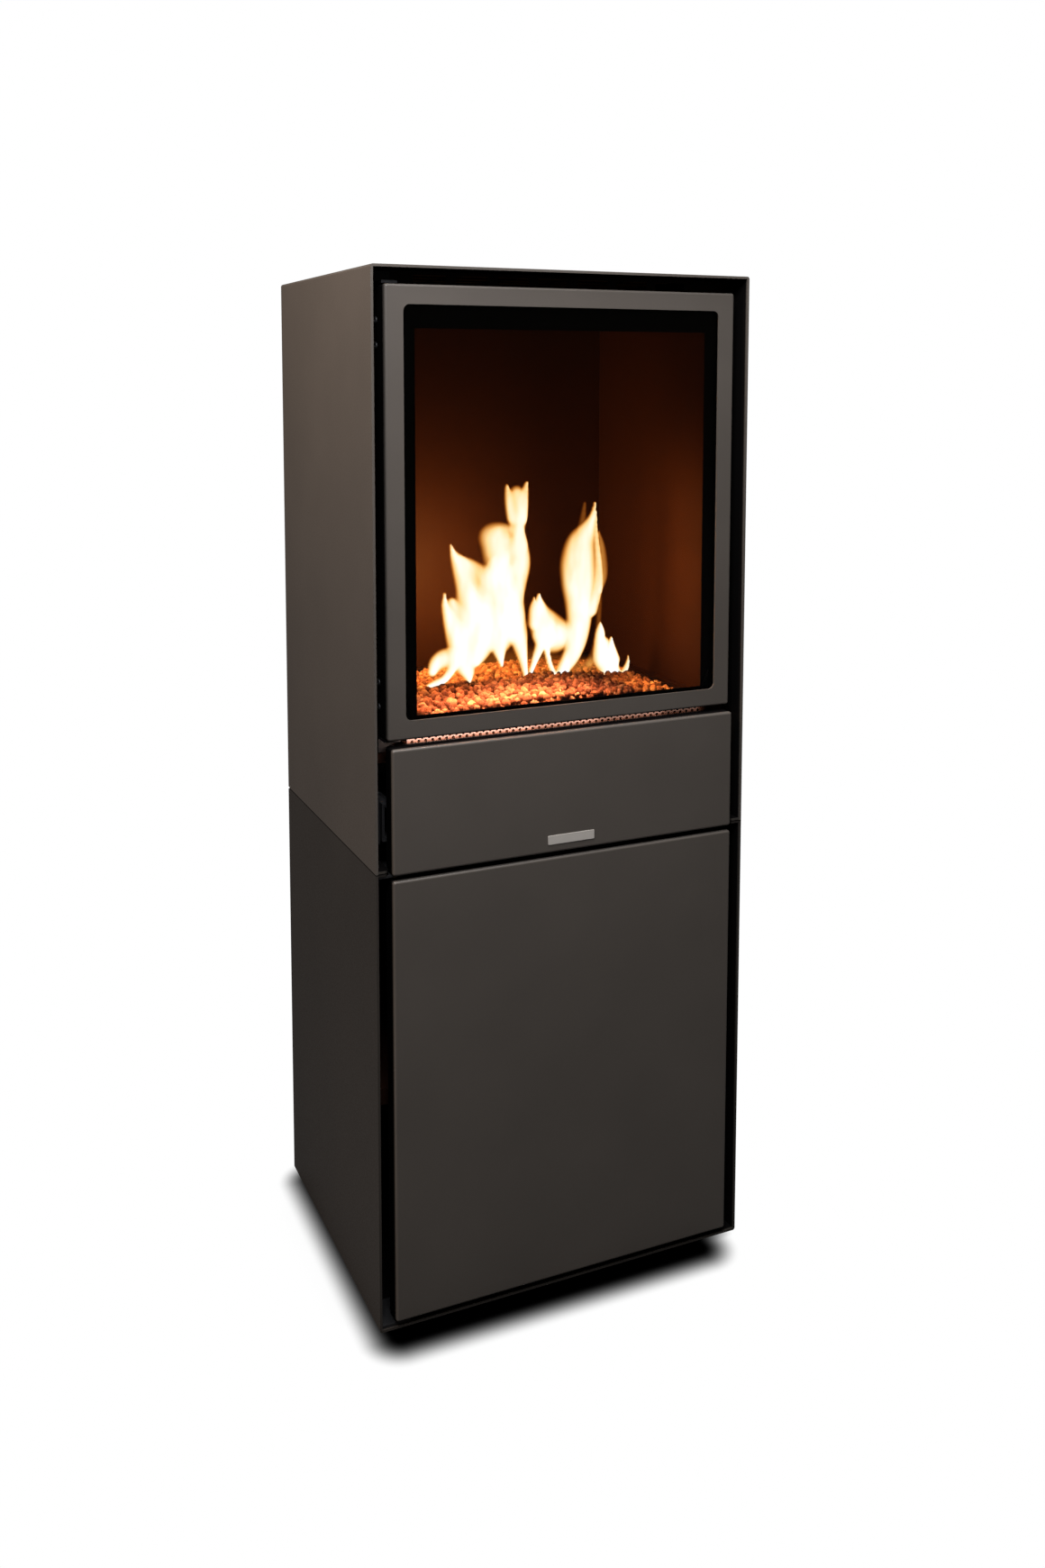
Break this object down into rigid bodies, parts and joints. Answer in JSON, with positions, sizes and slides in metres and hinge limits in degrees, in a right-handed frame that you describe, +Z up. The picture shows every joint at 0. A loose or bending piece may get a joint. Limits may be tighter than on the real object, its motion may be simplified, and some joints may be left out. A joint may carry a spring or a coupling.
{
  "type": "bioethanol fireplace",
  "caption": "Tall free-standing sheet-steel column with a glazed fire chamber over a granulate bed, a drawer under it, and a door on the cupboard below.",
  "frame": {"origin": "on the floor, under the middle of the object's bounding box", "axes": "+Z up; the doors and the drawer face -Y; the doors' hinges are on the -X side"},
  "size_m": [0.5, 0.3908, 1.272],
  "materials": {
    "graphite_coat": "fine matt-satin powder coat, dark warm grey",
    "chamber_paint": "heat-proof satin paint",
    "stainless": "brushed",
    "ceramic_glass": "clear",
    "fibre_seal": "woven glass fibre",
    "wick_wool": "ceramic wool",
    "clay_granulate": "rough fired clay",
    "pad_rubber": "matt",
    "black_plastic": "fine grained",
    "bush_brass": "turned",
    "zinc_steel": "bright zinc plate"
  },
  "bodies": {
    "carcass": {"air_strip": "chamber_paint", "back_panel_screws": "zinc_steel", "burner_tank": "stainless", "carcass_studs": "zinc_steel", "chamber_back_wall": "chamber_paint", "chamber_front_plate": "chamber_paint", "chamber_roof_plate": "chamber_paint", "chamber_wall_left": "chamber_paint", "chamber_wall_right": "chamber_paint", "cupboard_shelf": "chamber_paint", "door_catch": "black_plastic", "door_hinge_foot": "zinc_steel", "door_hinge_head": "zinc_steel", "floor_pads": "pad_rubber", "fuel_wick": "wick_wool", "granulate_bed": "clay_granulate", "granulate_grate": "stainless", "granulate_tray": "stainless", "hearth_bearer_left": "zinc_steel", "hearth_bearer_right": "zinc_steel", "hearth_plate": "chamber_paint", "lower_back_panel": "zinc_steel", "lower_casing": "graphite_coat", "runner_carrier_left": "zinc_steel", "runner_carrier_right": "zinc_steel", "runner_outer_left": "zinc_steel", "runner_outer_right": "zinc_steel", "seam_bolts": "zinc_steel", "shelf_supports": "zinc_steel", "shutter_rails": "stainless", "tank_cradle": "zinc_steel", "upper_back_panel": "zinc_steel", "upper_casing": "graphite_coat", "window_catch": "black_plastic", "window_hinge_foot": "zinc_steel", "window_hinge_head": "zinc_steel"},
    "burner_shutter": {"shutter_plate": "stainless", "shutter_knob": "black_plastic"},
    "drawer": {"drawer_front": "graphite_coat", "drawer_box": "zinc_steel", "name_plate": "stainless", "runner_inner_left": "zinc_steel", "runner_inner_right": "zinc_steel"},
    "middle_runner_left": {"runner_middle_left": "zinc_steel"},
    "middle_runner_right": {"runner_middle_right": "zinc_steel"},
    "window_door": {"window_frame": "graphite_coat", "window_glass": "ceramic_glass", "glass_gasket": "fibre_seal", "glass_retainer": "chamber_paint", "retainer_screws": "zinc_steel", "window_seal": "fibre_seal", "window_hinge_blocks": "zinc_steel", "window_hinge_bushes": "bush_brass", "hinge_block_screws": "zinc_steel", "window_strike": "stainless"},
    "cupboard_door": {"lower_door": "graphite_coat", "door_stiffener": "chamber_paint", "door_hinge_blocks": "zinc_steel", "door_hinge_bushes": "bush_brass", "door_strike": "stainless"}
  },
  "joints": [
    {"name": "window_hinge", "type": "hinge", "parent": "carcass", "child": "window_door", "pos_m": [-0.224, -0.1636, 0.98825], "axis": [0, 0, -1], "range_deg": [0, 90]},
    {"name": "cupboard_hinge", "type": "hinge", "parent": "carcass", "child": "cupboard_door", "pos_m": [-0.2225, -0.1746, 0.2905], "axis": [0, 0, -1], "range_deg": [0, 100]},
    {"name": "drawer_slide", "type": "slide", "parent": "carcass", "child": "drawer", "axis": [0, -1, 0], "range_m": [0, 0.25]},
    {"name": "middle_slide_left", "type": "slide", "parent": "carcass", "child": "middle_runner_left", "axis": [0, -1, 0], "range_m": [0, 0.125]},
    {"name": "middle_slide_right", "type": "slide", "parent": "carcass", "child": "middle_runner_right", "axis": [0, -1, 0], "range_m": [0, 0.125]},
    {"name": "shutter_slide", "type": "slide", "parent": "carcass", "child": "burner_shutter", "axis": [0, 1, 0], "range_m": [0, 0.072]}
  ],
  "couplings": [
    {"joint": "middle_slide_left", "follows": "drawer_slide", "ratio": 0.5},
    {"joint": "middle_slide_right", "follows": "drawer_slide", "ratio": 0.5}
  ]
}
